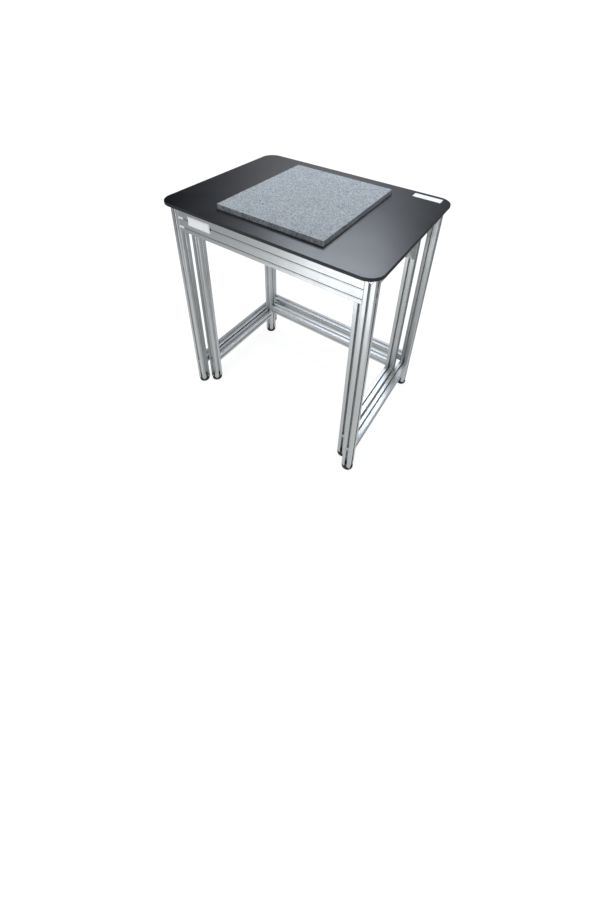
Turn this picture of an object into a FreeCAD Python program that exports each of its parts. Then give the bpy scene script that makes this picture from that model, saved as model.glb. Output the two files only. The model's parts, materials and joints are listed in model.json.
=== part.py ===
"""Weighing balance table: a frame table with a separate inner stand that carries a stone slab.

Frame: +X to the right of a person who sits at the table, +Y away from them, +Z up.
The origin is on the floor, under the middle of the tabletop. All sizes are in millimetres.
"""

import FreeCAD, Part
import math
import os

# Extruded aluminium profile
PROFILE = 30.0            # side of one profile module
PROFILE_CORNER = 1.6      # outer corner radius
SLOT_MOUTH = 8.2          # opening of a T-slot
SLOT_LIP = 2.2            # thickness of the lips beside the mouth
SLOT_WIDTH = 16.5         # widest part of the slot, behind the lips
SLOT_SHOULDER = 5.0       # depth where the slot begins to narrow
SLOT_FLOOR_WIDTH = 8.4    # width of the slot's floor
SLOT_DEPTH = 9.0          # depth of the slot's floor
DEEP_MODULES = 3          # modules stacked in an apron

# Tabletop
TOP_WIDTH = 714.0
TOP_DEPTH = 536.0
TOP_THICKNESS = 10.0
TOP_HEIGHT = 780.0        # floor to the tabletop's upper face
TOP_CORNER_RADIUS = 45.0
TOP_EDGE_RADIUS = 2.0
CUTOUT_CORNER_RADIUS = 1.0
OVERHANG_SIDE = 15.0
OVERHANG_FRONT = 30.0
OVERHANG_BACK = 35.0

# Stone slab
SLAB_WIDTH = 356.0
SLAB_THICKNESS = 30.0
SLAB_PROUD = 15.0         # height of the slab's upper face over the tabletop
SLAB_FRONT_INSET = 0.0    # slab's front edge, behind the front face of the stand that carries it
SLAB_BACK_OVERHANG = 21.0 # slab's back edge, past the back face of the stand
SLAB_CORNER_RADIUS = 2.0
SLAB_CHAMFER = 1.5
SLAB_GAP = 2.0            # air between the slab and the tabletop's cut-out

# Inner stand, which never touches the outer frame
STAND_SIDE_GAP = 6.0
STAND_FRONT_GAP = 3.0
STAND_BACK_GAP = 27.0

# Lower rails
SIDE_RAIL_UNDERSIDE = 88.0
BACK_RAIL_RISE = 30.0     # underside of a back rail over the underside of a side rail

# Isolation pads between the stand and the slab
PAD_LENGTH = 40.0
PAD_MARGIN = 3.0          # from the edges of the rail and the slab to the pad between them
PAD_THICKNESS = 3.0
PAD_INSET = 25.0          # from the slab's side edge to the end of the nearest pad
PADS_PER_RAIL = 3

# Levelling feet and leg end caps
FOOT_RADIUS = 18.5
FOOT_TOP_RADIUS = 15.5
FOOT_SOLE_RADIUS = 17.5
FOOT_HEIGHT = 10.0
FOOT_RIM_LOW = 1.5        # height where the sole's bevel meets the rim
FOOT_RIM_HIGH = 6.5       # height where the rim starts to round towards the top
CAP_THICKNESS = 3.0
CAP_TONGUE_HEIGHT = 10.0
CAP_TONGUE_LENGTH = 8.0
CAP_TONGUE_GAP = 0.2      # gap on each side of a tongue in its slot
STUD_SEAT = 4.0           # height of the stud's lower end over the floor
STUD_ENGAGEMENT = 30.0    # length of stud inside the leg

# Frame bolts
BOLT_DIAMETER = 8.0
BOLT_HEAD_DIAMETER = 13.0
BOLT_HEAD_HEIGHT = 8.0
BOLT_HEX = 6.0            # across flats
BOLT_HEX_DEPTH = 4.0
BOLT_REACH = 18.0         # length of bolt inside the rail
HEAD_CLEARANCE = 0.5      # radial gap round a bolt head
FIT = 0.05                # radial gap round a shank

# Screws that hold the tabletop from below
TOP_SCREW_DIAMETER = 5.0
TOP_SCREW_HEAD_DIAMETER = 9.0
TOP_SCREW_HEAD_HEIGHT = 3.5
TOP_SCREW_HEX = 3.0
TOP_SCREW_HEX_DEPTH = 1.8
TOP_SCREW_REACH = 7.0
TOP_SCREW_HOLE_SPARE = 0.5
TOP_SCREW_INSET = 55.0    # from the end of a rail to its first screw
TOP_SCREWS_PER_RAIL = 3

# Cast gusset brackets under the back ends of the stand's side rails
GUSSET_ARM = 60.0
GUSSET_WIDTH = 28.0
GUSSET_FLANGE = 5.0
GUSSET_WALL = 3.0
GUSSET_TOE = 8.0          # height of the side walls at the ends of the arms
GUSSET_HOLE_OFFSET = 34.0
GUSSET_SCREW_HEAD_DIAMETER = 14.0
GUSSET_SCREW_HEAD_HEIGHT = 4.4
GUSSET_SCREW_HEX = 5.0
GUSSET_SCREW_HEX_DEPTH = 2.6
GUSSET_SCREW_REACH = 7.5  # length of screw inside the slot
SLOT_NUT_LENGTH = 20.0
SLOT_NUT_DEPTH = 7.0
SLOT_NUT_GAP = 0.3

# Stops and grooved cover strips in the front apron's slots
FILL_RECESS = 0.3         # from the apron's face to the face of a stop or a strip
FILL_GAP = 0.15           # gap on each side of a stop or a strip in its slot's mouth
STOP_LENGTH = 18.0
STOP_DEPTH = 7.0
STRIP_DEPTH = 6.0
STRIP_GROOVE_WIDTH = 2.4
STRIP_GROOVE_DEPTH = 4.5
STRIP_PLATE_GAP = 5.0     # open slot between the front plate and the strip beside it

# Blank plates
FRONT_PLATE_WIDTH = 88.0
FRONT_PLATE_HEIGHT = 31.0
FRONT_PLATE_THICKNESS = 1.0
FRONT_PLATE_INSET = 41.0  # from the apron's left end
TOP_PLATE_WIDTH = 90.0
TOP_PLATE_DEPTH = 28.0
TOP_PLATE_THICKNESS = 0.5
TOP_PLATE_SIDE_INSET = 30.0
TOP_PLATE_BACK_INSET = 18.0

# Places worked out from the sizes above
HALF = PROFILE / 2
DEEP = PROFILE * DEEP_MODULES
TOP_UNDERSIDE = TOP_HEIGHT - TOP_THICKNESS
SLAB_UNDERSIDE = TOP_HEIGHT + SLAB_PROUD - SLAB_THICKNESS
STAND_TOP = SLAB_UNDERSIDE - PAD_THICKNESS
LEG_BOTTOM = FOOT_HEIGHT + CAP_THICKNESS

OUTER_X = TOP_WIDTH / 2 - OVERHANG_SIDE - HALF
OUTER_FRONT = -(TOP_DEPTH / 2 - OVERHANG_FRONT - HALF)
OUTER_BACK = TOP_DEPTH / 2 - OVERHANG_BACK - HALF
STAND_X = OUTER_X - PROFILE - STAND_SIDE_GAP
STAND_FRONT = OUTER_FRONT + PROFILE + STAND_FRONT_GAP
STAND_BACK = OUTER_BACK - PROFILE - STAND_BACK_GAP

SLAB_FRONT = STAND_FRONT - HALF + SLAB_FRONT_INSET
SLAB_BACK = STAND_BACK + HALF + SLAB_BACK_OVERHANG
SLAB_DEPTH = SLAB_BACK - SLAB_FRONT
SLAB_MIDDLE = (SLAB_FRONT + SLAB_BACK) / 2

SIDE_RAIL_MIDDLE = SIDE_RAIL_UNDERSIDE + HALF
BACK_RAIL_MIDDLE = SIDE_RAIL_MIDDLE + BACK_RAIL_RISE
APRON_MIDDLE = TOP_UNDERSIDE - DEEP / 2
TOP_RAIL_MIDDLE = TOP_UNDERSIDE - HALF
STAND_RAIL_MIDDLE = STAND_TOP - DEEP / 2

SIDES = {"left": -1, "right": 1}
ALONG = {
    "x": FreeCAD.Rotation(FreeCAD.Vector(1, 1, 1), 120),
    "y": FreeCAD.Rotation(FreeCAD.Vector(1, 0, 0), -90),
    "z": FreeCAD.Rotation(),
}


def vector(x, y, z):
    return FreeCAD.Vector(x, y, z)


def moved(shape, spot, direction=None):
    """Turn a shape from +Z to a direction and carry its origin to a spot."""
    turn = FreeCAD.Rotation()
    if direction is not None:
        turn = FreeCAD.Rotation(vector(0, 0, 1), direction)
    placed = shape.copy()
    placed.Placement = FreeCAD.Placement(spot, turn)
    return placed


def polygon_face(points):
    corners = [vector(x, y, 0) for x, y in points]
    return Part.Face(Part.makePolygon(corners + corners[:1]))


def rounded_rectangle(width, height, radius):
    """Face in the XY plane, centred on the origin, with arcs at its corners."""
    half_width = width / 2
    half_height = height / 2
    arc_middle = radius * (1 - math.sqrt(0.5))
    edges = []
    outline = []
    for sx, sy in ((1, 1), (-1, 1), (-1, -1), (1, -1)):
        beside = vector(sx * half_width, sy * (half_height - radius), 0)
        above = vector(sx * (half_width - radius), sy * half_height, 0)
        middle = vector(sx * (half_width - arc_middle), sy * (half_height - arc_middle), 0)
        first, last = (beside, above) if sx * sy > 0 else (above, beside)
        outline.append((first, middle, last))
    for number, (first, middle, last) in enumerate(outline):
        edges.append(Part.Arc(first, middle, last).toShape())
        following = outline[(number + 1) % len(outline)][0]
        edges.append(Part.LineSegment(last, following).toShape())
    return Part.Face(Part.Wire(edges))


def slot_outline(gap=0.0, depth=SLOT_DEPTH, mouth_start=-1.0):
    """Half-open T shape that goes in along -Y from a face at Y = 0; gap shrinks it on every side."""
    mouth = SLOT_MOUTH / 2 - gap
    wide = SLOT_WIDTH / 2 - gap
    floor = SLOT_FLOOR_WIDTH / 2 - gap
    slope = (SLOT_WIDTH - SLOT_FLOOR_WIDTH) / 2 / (SLOT_DEPTH - SLOT_SHOULDER)
    end_half = min(wide, floor + (SLOT_DEPTH - depth) * slope)
    right = [
        (mouth, -mouth_start),
        (mouth, -SLOT_LIP - gap),
        (wide, -SLOT_LIP - gap),
        (wide, -SLOT_SHOULDER),
        (end_half, -depth),
    ]
    return right + [(-x, y) for x, y in reversed(right)]


def profile_section(modules):
    """Cross-section of a profile of stacked modules: width along X, height along Y."""
    height = PROFILE * modules
    section = rounded_rectangle(PROFILE, height, PROFILE_CORNER)
    slot = polygon_face(slot_outline())
    middles = [(number - (modules - 1) / 2) * PROFILE for number in range(modules)]
    cutters = []
    for quarter, x, y in [(0, 0, height / 2), (2, 0, -height / 2)]:
        cutters.append((quarter, x, y))
    for y in middles:
        cutters.append((3, HALF, y))
        cutters.append((1, -HALF, y))
    for quarter, x, y in cutters:
        cutter = slot.copy()
        cutter.rotate(vector(0, 0, 0), vector(0, 0, 1), 90 * quarter)
        cutter.translate(vector(x, y, 0))
        section = section.cut(cutter)
    for y in middles:
        bore = Part.Face(Part.Wire(Part.makeCircle(BOLT_DIAMETER / 2 + FIT, vector(0, y, 0))))
        section = section.cut(bore)
    return section.Faces[0]


def bar(axis, modules, start, length):
    """Length of profile that runs along an axis from its start point."""
    solid = profile_section(modules).extrude(vector(0, 0, length))
    solid.Placement = FreeCAD.Placement(start, ALONG[axis])
    return solid


def bar_x(modules, half_length, y, z):
    return bar("x", modules, vector(-half_length, y, z), 2 * half_length)


def bar_y(modules, x, front, back, z):
    return bar("y", modules, vector(x, front, z), back - front)


def hexagon_prism(across_flats, depth):
    radius = across_flats / math.sqrt(3)
    points = []
    for corner in range(6):
        angle = math.radians(60 * corner)
        points.append((radius * math.cos(angle), radius * math.sin(angle)))
    return polygon_face(points).extrude(vector(0, 0, depth))


def screw(diameter, head_diameter, head_height, hex_size, hex_depth, shank):
    """Socket screw along +Z with the underside of its head at the origin."""
    head = Part.makeCylinder(head_diameter / 2, head_height, vector(0, 0, -head_height))
    stem = Part.makeCylinder(diameter / 2, shank)
    socket = moved(hexagon_prism(hex_size, hex_depth), vector(0, 0, -head_height))
    return head.fuse(stem).removeSplitter().cut(socket)


def apron_cores(middle):
    """Heights of the module middles of an apron."""
    return [middle + (n - (DEEP_MODULES - 1) / 2) * PROFILE for n in range(DEEP_MODULES)]


class RailJoint:
    """Bolt that goes through a leg and into the end of a rail."""

    def __init__(self, x, y, z, direction):
        self.direction = direction
        self.middle = vector(x, y, z)
        self.seat = self.middle - direction * (HALF - SLOT_DEPTH)

    def bolt(self):
        shank = (HALF - SLOT_DEPTH) + HALF + BOLT_REACH
        sizes = (BOLT_DIAMETER, BOLT_HEAD_DIAMETER, BOLT_HEAD_HEIGHT, BOLT_HEX, BOLT_HEX_DEPTH)
        return moved(screw(*sizes, shank), self.seat, self.direction)

    def cutters(self):
        face = self.middle - self.direction * HALF
        head_hole = Part.makeCylinder(BOLT_HEAD_DIAMETER / 2 + HEAD_CLEARANCE, SLOT_DEPTH)
        shank_hole = Part.makeCylinder(BOLT_DIAMETER / 2 + FIT, PROFILE)
        return [moved(head_hole, face, self.direction), moved(shank_hole, face, self.direction)]


def frame_joints(half_x, front, back, across_heights, along_heights):
    """Joints of a four-legged frame, by leg: rails across it along X, rails beside it along Y."""
    legs = {}
    for end, y, inward in (("front", front, 1), ("back", back, -1)):
        for side, sx in SIDES.items():
            across = list(across_heights)
            if end == "back":
                across.append(BACK_RAIL_MIDDLE)
            along = list(along_heights) + [SIDE_RAIL_MIDDLE]
            joints = [RailJoint(sx * half_x, y, z, vector(-sx, 0, 0)) for z in across]
            joints += [RailJoint(sx * half_x, y, z, vector(0, inward, 0)) for z in along]
            legs[end + "_" + side] = (sx * half_x, y, joints)
    return legs


def leg(x, y, top, joints):
    solid = bar("z", 1, vector(x, y, LEG_BOTTOM), top - LEG_BOTTOM)
    for joint in joints:
        for cutter in joint.cutters():
            solid = solid.cut(cutter)
    return solid


def leg_cap(x, y):
    """Plate over a leg's lower end, with four tongues that go up into its slots."""
    plate = rounded_rectangle(PROFILE, PROFILE, PROFILE_CORNER).extrude(vector(0, 0, CAP_THICKNESS))
    width = SLOT_MOUTH - 2 * CAP_TONGUE_GAP
    for quarter in range(4):
        tongue = Part.makeBox(
            width, CAP_TONGUE_LENGTH, CAP_THICKNESS + CAP_TONGUE_HEIGHT,
            vector(-width / 2, HALF - CAP_TONGUE_LENGTH - CAP_TONGUE_GAP, 0))
        tongue.rotate(vector(0, 0, 0), vector(0, 0, 1), 90 * quarter)
        plate = plate.fuse(tongue)
    bore = Part.makeCylinder(BOLT_DIAMETER / 2 + FIT, CAP_THICKNESS)
    return moved(plate.removeSplitter().cut(bore), vector(x, y, FOOT_HEIGHT))


def foot_base(x, y):
    """Round levelling foot with a blind bore that holds the stud."""
    outline = Part.makePolygon([
        vector(0, 0, 0), vector(FOOT_SOLE_RADIUS, 0, 0), vector(FOOT_RADIUS, 0, FOOT_RIM_LOW),
        vector(FOOT_RADIUS, 0, FOOT_RIM_HIGH), vector(FOOT_TOP_RADIUS, 0, FOOT_HEIGHT),
        vector(0, 0, FOOT_HEIGHT), vector(0, 0, 0)])
    body = Part.Face(outline).revolve(vector(0, 0, 0), vector(0, 0, 1), 360)
    bore = Part.makeCylinder(BOLT_DIAMETER / 2 + FIT, FOOT_HEIGHT - STUD_SEAT, vector(0, 0, STUD_SEAT))
    return moved(body.cut(bore), vector(x, y, 0))


def foot_stud(x, y):
    length = LEG_BOTTOM + STUD_ENGAGEMENT - STUD_SEAT
    return Part.makeCylinder(BOLT_DIAMETER / 2, length, vector(x, y, STUD_SEAT))


def tabletop():
    """Board with round corners, eased edges and a cut-out for the slab."""
    board = rounded_rectangle(TOP_WIDTH, TOP_DEPTH, TOP_CORNER_RADIUS)
    board = board.extrude(vector(0, 0, TOP_THICKNESS))
    rims = [edge for face in board.Faces for edge in face.Edges
            if abs(face.normalAt(0, 0).z) > 0.5]
    board = board.makeFillet(TOP_EDGE_RADIUS, rims)
    hole = rounded_rectangle(
        SLAB_WIDTH + 2 * SLAB_GAP, SLAB_DEPTH + 2 * SLAB_GAP, CUTOUT_CORNER_RADIUS)
    hole = moved(hole.extrude(vector(0, 0, TOP_THICKNESS)), vector(0, SLAB_MIDDLE, 0))
    board = moved(board.cut(hole), vector(0, 0, TOP_UNDERSIDE))
    for x, y in top_screw_places():
        pilot = Part.makeCylinder(
            TOP_SCREW_DIAMETER / 2 + FIT, TOP_SCREW_REACH + TOP_SCREW_HOLE_SPARE,
            vector(x, y, TOP_UNDERSIDE))
        board = board.cut(pilot)
    return board


def spread(low, high, count):
    """Evenly spaced places from low to high, both of them included."""
    return [low + (high - low) * number / (count - 1) for number in range(count)]


def top_screw_places():
    inset = HALF + TOP_SCREW_INSET
    rows = spread(OUTER_FRONT + inset, OUTER_BACK - inset, TOP_SCREWS_PER_RAIL)
    return [(sx * OUTER_X, y) for sx in SIDES.values() for y in rows]


def top_screw(x, y):
    seat = TOP_RAIL_MIDDLE - HALF + SLOT_DEPTH
    shank = TOP_UNDERSIDE - seat + TOP_SCREW_REACH
    body = screw(TOP_SCREW_DIAMETER, TOP_SCREW_HEAD_DIAMETER, TOP_SCREW_HEAD_HEIGHT,
                 TOP_SCREW_HEX, TOP_SCREW_HEX_DEPTH, shank)
    return moved(body, vector(x, y, seat))


def outer_top_rail(sx):
    """Side rail under the tabletop, drilled for the screws that hold the board."""
    rail = bar_y(1, sx * OUTER_X, OUTER_FRONT + HALF, OUTER_BACK - HALF, TOP_RAIL_MIDDLE)
    underside = TOP_RAIL_MIDDLE - HALF
    for x, y in top_screw_places():
        if x * sx > 0:
            head = Part.makeCylinder(
                TOP_SCREW_HEAD_DIAMETER / 2 + HEAD_CLEARANCE, SLOT_DEPTH, vector(x, y, underside))
            shank = Part.makeCylinder(TOP_SCREW_DIAMETER / 2 + FIT, PROFILE, vector(x, y, underside))
            rail = rail.cut(head).cut(shank)
    return rail


def slab():
    outline = rounded_rectangle(SLAB_WIDTH, SLAB_DEPTH, SLAB_CORNER_RADIUS)
    stone = outline.extrude(vector(0, 0, SLAB_THICKNESS))
    upper = max(stone.Faces, key=lambda face: face.CenterOfMass.z)
    stone = stone.makeChamfer(SLAB_CHAMFER, upper.Edges)
    return moved(stone, vector(0, SLAB_MIDDLE, SLAB_UNDERSIDE))


def isolation_pads():
    reach = SLAB_WIDTH / 2 - PAD_INSET - PAD_LENGTH / 2
    seats = (
        (max(STAND_FRONT - HALF, SLAB_FRONT), STAND_FRONT + HALF),
        (STAND_BACK - HALF, min(STAND_BACK + HALF, SLAB_BACK)))
    pads = []
    for front, back in seats:
        width = back - front - 2 * PAD_MARGIN
        for x in spread(-reach, reach, PADS_PER_RAIL):
            corner = vector(x - PAD_LENGTH / 2, front + PAD_MARGIN, STAND_TOP)
            pads.append(Part.makeBox(PAD_LENGTH, width, PAD_THICKNESS, corner))
    return pads


def gusset():
    """Bracket for the corner below a rail and behind a leg: arms along +Y and -Z from the origin."""
    half_width = GUSSET_WIDTH / 2
    side = [(0, 0), (GUSSET_ARM, 0), (GUSSET_ARM, -GUSSET_TOE),
            (GUSSET_TOE, -GUSSET_ARM), (0, -GUSSET_ARM)]
    corners = [vector(-half_width, y, z) for y, z in side]
    block = Part.Face(Part.makePolygon(corners + corners[:1])).extrude(vector(GUSSET_WIDTH, 0, 0))
    hollow = Part.makeBox(
        GUSSET_WIDTH - 2 * GUSSET_WALL, GUSSET_ARM, GUSSET_ARM,
        vector(-half_width + GUSSET_WALL, GUSSET_FLANGE, -GUSSET_FLANGE - GUSSET_ARM))
    block = block.cut(hollow)
    for spot, direction in gusset_screw_places():
        hole = Part.makeCylinder(BOLT_DIAMETER / 2 + FIT, GUSSET_FLANGE)
        block = block.cut(moved(hole, spot, direction))
    return block


def gusset_screw_places():
    """Undersides of the two screw heads, and the way that the screws go in."""
    return [
        (vector(0, GUSSET_FLANGE, -GUSSET_HOLE_OFFSET), vector(0, -1, 0)),
        (vector(0, GUSSET_HOLE_OFFSET, -GUSSET_FLANGE), vector(0, 0, 1)),
    ]


def gusset_screws():
    shank = GUSSET_FLANGE + GUSSET_SCREW_REACH
    body = screw(BOLT_DIAMETER, GUSSET_SCREW_HEAD_DIAMETER, GUSSET_SCREW_HEAD_HEIGHT,
                 GUSSET_SCREW_HEX, GUSSET_SCREW_HEX_DEPTH, shank)
    return [moved(body, spot, direction) for spot, direction in gusset_screw_places()]


def slot_nut():
    """Nut that lies in a slot along X, behind a mouth that opens towards +Y at Y = 0."""
    outline = slot_outline(SLOT_NUT_GAP, SLOT_NUT_DEPTH, SLOT_LIP + SLOT_NUT_GAP)
    body = polygon_face(outline).extrude(vector(0, 0, SLOT_NUT_LENGTH))
    body.translate(vector(0, 0, -SLOT_NUT_LENGTH / 2))
    bore = Part.makeCylinder(BOLT_DIAMETER / 2 + FIT, SLOT_DEPTH, vector(0, 0, 0), vector(0, -1, 0))
    return body.cut(bore)


def gusset_nuts():
    in_leg = slot_nut()
    in_leg.translate(vector(0, 0, -GUSSET_HOLE_OFFSET))
    in_rail = slot_nut()
    in_rail.rotate(vector(0, 0, 0), vector(1, 0, 0), -90)
    in_rail.translate(vector(0, GUSSET_HOLE_OFFSET, 0))
    return [in_leg, in_rail]


def at_back_corners(pieces):
    """Turn pieces made for a bracket round, and repeat them before both back legs of the stand."""
    placed = []
    for x in (-STAND_X, STAND_X):
        for piece in pieces:
            copy = piece.copy()
            copy.rotate(vector(0, 0, 0), vector(0, 0, 1), 180)
            copy.translate(vector(x, STAND_BACK - HALF, STAND_RAIL_MIDDLE - DEEP / 2))
            placed.append(copy)
    return placed


def apron_filler(left, right, depth, z):
    """Bar that fills the mouth of one of the front apron's slots from its face inwards."""
    width = SLOT_MOUTH - 2 * FILL_GAP
    corner = vector(left, OUTER_FRONT - HALF + FILL_RECESS, z - width / 2)
    return Part.makeBox(right - left, depth, width, corner)


def apron_stops():
    """Short bars against the left leg, in the front apron's lower slots."""
    left = -(OUTER_X - HALF)
    return [apron_filler(left, left + STOP_LENGTH, STOP_DEPTH, z)
            for z in apron_cores(APRON_MIDDLE)[:-1]]


def open_stretches(z):
    """Left and right ends of the lengths of a front slot that no stop and no plate takes up."""
    end = OUTER_X - HALF
    stretches = [(STOP_LENGTH - end, end)]
    if abs(z - APRON_MIDDLE) < (FRONT_PLATE_HEIGHT + SLOT_MOUTH) / 2:
        plate = FRONT_PLATE_INSET - end
        stretches = [(STOP_LENGTH - end, plate - STRIP_PLATE_GAP),
                     (plate + FRONT_PLATE_WIDTH + STRIP_PLATE_GAP, end)]
    return stretches


def apron_strips():
    """Cover strips with a groove along their middle, in each open length of the front slots."""
    strips = []
    for z in apron_cores(APRON_MIDDLE):
        for left, right in open_stretches(z):
            strip = apron_filler(left, right, STRIP_DEPTH, z)
            groove = Part.makeBox(
                right - left, STRIP_GROOVE_DEPTH, STRIP_GROOVE_WIDTH,
                vector(left, OUTER_FRONT - HALF + FILL_RECESS, z - STRIP_GROOVE_WIDTH / 2))
            strips.append(strip.cut(groove))
    return strips


def front_plate():
    left = -(OUTER_X - HALF) + FRONT_PLATE_INSET
    bottom = APRON_MIDDLE - FRONT_PLATE_HEIGHT / 2
    face = OUTER_FRONT - HALF
    return Part.makeBox(FRONT_PLATE_WIDTH, FRONT_PLATE_THICKNESS, FRONT_PLATE_HEIGHT,
                        vector(left, face - FRONT_PLATE_THICKNESS, bottom))


def top_plate():
    left = TOP_WIDTH / 2 - TOP_PLATE_SIDE_INSET - TOP_PLATE_WIDTH
    front = TOP_DEPTH / 2 - TOP_PLATE_BACK_INSET - TOP_PLATE_DEPTH
    return Part.makeBox(TOP_PLATE_WIDTH, TOP_PLATE_DEPTH, TOP_PLATE_THICKNESS,
                        vector(left, front, TOP_HEIGHT))


def bolts(legs, wanted):
    """Bolts of a frame that run along X or along Y."""
    chosen = []
    for x, y, joints in legs.values():
        chosen += [joint.bolt() for joint in joints if wanted(joint)]
    return chosen


def add_legs(nodes, prefix, legs, top):
    for place, (x, y, joints) in legs.items():
        nodes[prefix + "_leg_" + place] = leg(x, y, top, joints)
        nodes[prefix + "_foot_" + place] = foot_base(x, y)
        nodes[prefix + "_stud_" + place] = foot_stud(x, y)
    nodes[prefix + "_leg_caps"] = [leg_cap(x, y) for x, y, joints in legs.values()]
    nodes[prefix + "_cross_bolts"] = bolts(legs, lambda joint: abs(joint.direction.x) > 0.5)
    nodes[prefix + "_side_bolts"] = bolts(legs, lambda joint: abs(joint.direction.y) > 0.5)


def add_lower_rails(nodes, prefix, half_x, front, back):
    for side, sx in SIDES.items():
        nodes[prefix + "_lower_rail_" + side] = bar_y(
            1, sx * half_x, front + HALF, back - HALF, SIDE_RAIL_MIDDLE)
    nodes[prefix + "_lower_rail_back"] = bar_x(1, half_x - HALF, back, BACK_RAIL_MIDDLE)


def outer_frame():
    nodes = {}
    legs = frame_joints(
        OUTER_X, OUTER_FRONT, OUTER_BACK, apron_cores(APRON_MIDDLE)[:-1], [TOP_RAIL_MIDDLE])
    add_legs(nodes, "outer", legs, TOP_UNDERSIDE)
    add_lower_rails(nodes, "outer", OUTER_X, OUTER_FRONT, OUTER_BACK)
    nodes["front_apron"] = bar_x(DEEP_MODULES, OUTER_X - HALF, OUTER_FRONT, APRON_MIDDLE)
    nodes["back_apron"] = bar_x(DEEP_MODULES, OUTER_X - HALF, OUTER_BACK, APRON_MIDDLE)
    for side, sx in SIDES.items():
        nodes["outer_top_rail_" + side] = outer_top_rail(sx)
    nodes["apron_slot_stops"] = apron_stops()
    nodes["apron_slot_strips"] = apron_strips()
    nodes["tabletop"] = tabletop()
    nodes["tabletop_screws"] = [top_screw(x, y) for x, y in top_screw_places()]
    nodes["front_plate"] = front_plate()
    nodes["top_plate"] = top_plate()
    return nodes


def inner_stand():
    nodes = {}
    cores = apron_cores(STAND_RAIL_MIDDLE)
    side_core = cores.pop(len(cores) // 2)
    legs = frame_joints(STAND_X, STAND_FRONT, STAND_BACK, cores, [side_core])
    add_legs(nodes, "stand", legs, STAND_TOP)
    add_lower_rails(nodes, "stand", STAND_X, STAND_FRONT, STAND_BACK)
    for end, y in (("front", STAND_FRONT), ("back", STAND_BACK)):
        nodes["stand_top_rail_" + end] = bar_x(DEEP_MODULES, STAND_X - HALF, y, STAND_RAIL_MIDDLE)
    for side, sx in SIDES.items():
        nodes["stand_top_rail_" + side] = bar_y(
            DEEP_MODULES, sx * STAND_X, STAND_FRONT + HALF, STAND_BACK - HALF, STAND_RAIL_MIDDLE)
    nodes["gusset_brackets"] = at_back_corners([gusset()])
    nodes["gusset_screws"] = at_back_corners(gusset_screws())
    nodes["gusset_slot_nuts"] = at_back_corners(gusset_nuts())
    nodes["isolation_pads"] = isolation_pads()
    nodes["weighing_slab"] = slab()
    return nodes


def main():
    os.makedirs("parts", exist_ok=True)
    nodes = {**outer_frame(), **inner_stand()}
    for name, shape in nodes.items():
        if isinstance(shape, list):
            shape = Part.makeCompound(shape)
        shape.exportStep("parts/" + name + ".step")
    print(len(nodes), "nodes")


main()
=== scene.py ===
"""Looks of the weighing balance table: its finishes, and the pieces shaped beyond their solids.

Lengths are in metres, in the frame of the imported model: +X to the right of a person who sits at the
table, +Y away from them, +Z up, with the floor at Z = 0.
"""

import json
import logging
import math
from collections.abc import Callable, Sequence
from dataclasses import dataclass, field
from enum import Enum
from typing import Any

import bmesh
import bpy
from mathutils import Matrix, Vector

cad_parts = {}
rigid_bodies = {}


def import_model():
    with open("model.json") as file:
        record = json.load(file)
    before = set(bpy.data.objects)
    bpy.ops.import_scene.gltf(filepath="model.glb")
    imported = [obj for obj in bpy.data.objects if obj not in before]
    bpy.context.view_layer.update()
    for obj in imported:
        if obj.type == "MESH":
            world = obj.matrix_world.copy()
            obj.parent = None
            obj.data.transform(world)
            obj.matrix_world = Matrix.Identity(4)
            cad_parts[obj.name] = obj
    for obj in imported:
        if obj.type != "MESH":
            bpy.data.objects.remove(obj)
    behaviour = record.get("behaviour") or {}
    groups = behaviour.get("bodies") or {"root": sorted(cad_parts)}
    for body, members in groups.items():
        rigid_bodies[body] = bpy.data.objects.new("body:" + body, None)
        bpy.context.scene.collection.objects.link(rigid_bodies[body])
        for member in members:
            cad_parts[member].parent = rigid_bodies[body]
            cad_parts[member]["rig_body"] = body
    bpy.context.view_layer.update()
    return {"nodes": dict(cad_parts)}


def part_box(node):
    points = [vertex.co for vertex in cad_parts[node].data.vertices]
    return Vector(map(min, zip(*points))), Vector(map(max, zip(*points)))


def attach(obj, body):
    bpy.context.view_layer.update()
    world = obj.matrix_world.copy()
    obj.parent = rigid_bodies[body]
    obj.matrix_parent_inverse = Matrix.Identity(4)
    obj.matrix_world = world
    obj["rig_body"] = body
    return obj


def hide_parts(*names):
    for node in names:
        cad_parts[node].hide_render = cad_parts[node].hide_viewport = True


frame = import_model()

MM = 0.001
WELD = 0.001 * MM          # corners closer than this are one corner
SHARP_ANGLE = math.radians(35)
FLAT_ANGLE = math.radians(1)
LOG = logging.getLogger("weighing_table")

# Sockets of the Mix node: its factor, its two numbers, and its two colours with their result
MIX_FACTOR, MIX_LOW, MIX_HIGH, MIX_A, MIX_B, MIX_RESULT = 0, 2, 3, 6, 7, 2
VECTOR_MATH, SET_POSITION = "ShaderNodeVectorMath", "GeometryNodeSetPosition"

Mesh = bpy.types.Mesh
Tree = bpy.types.NodeTree
Node = bpy.types.Node
Socket = bpy.types.NodeSocket
Shape = bmesh.types.BMesh
Inputs = dict[str | int, Any]
Colour = tuple[float, float, float, float]
Loop = list[Vector]
Radius = float | Callable[[float], float]

# Kind of a recipe's input, from the type of its value
SOCKET_KINDS = {float: "Float", int: "Int", Vector: "Vector", bpy.types.Object: "Object",
                bpy.types.Material: "Material"}


class Axis(Enum):
    """A direction of the frame, by its place in a vector."""

    X = 0
    Y = 1
    Z = 2


class Ends(Enum):
    """How the first and last loop of a loft are closed."""

    CAPPED = "capped"
    JOINED = "joined"


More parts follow.
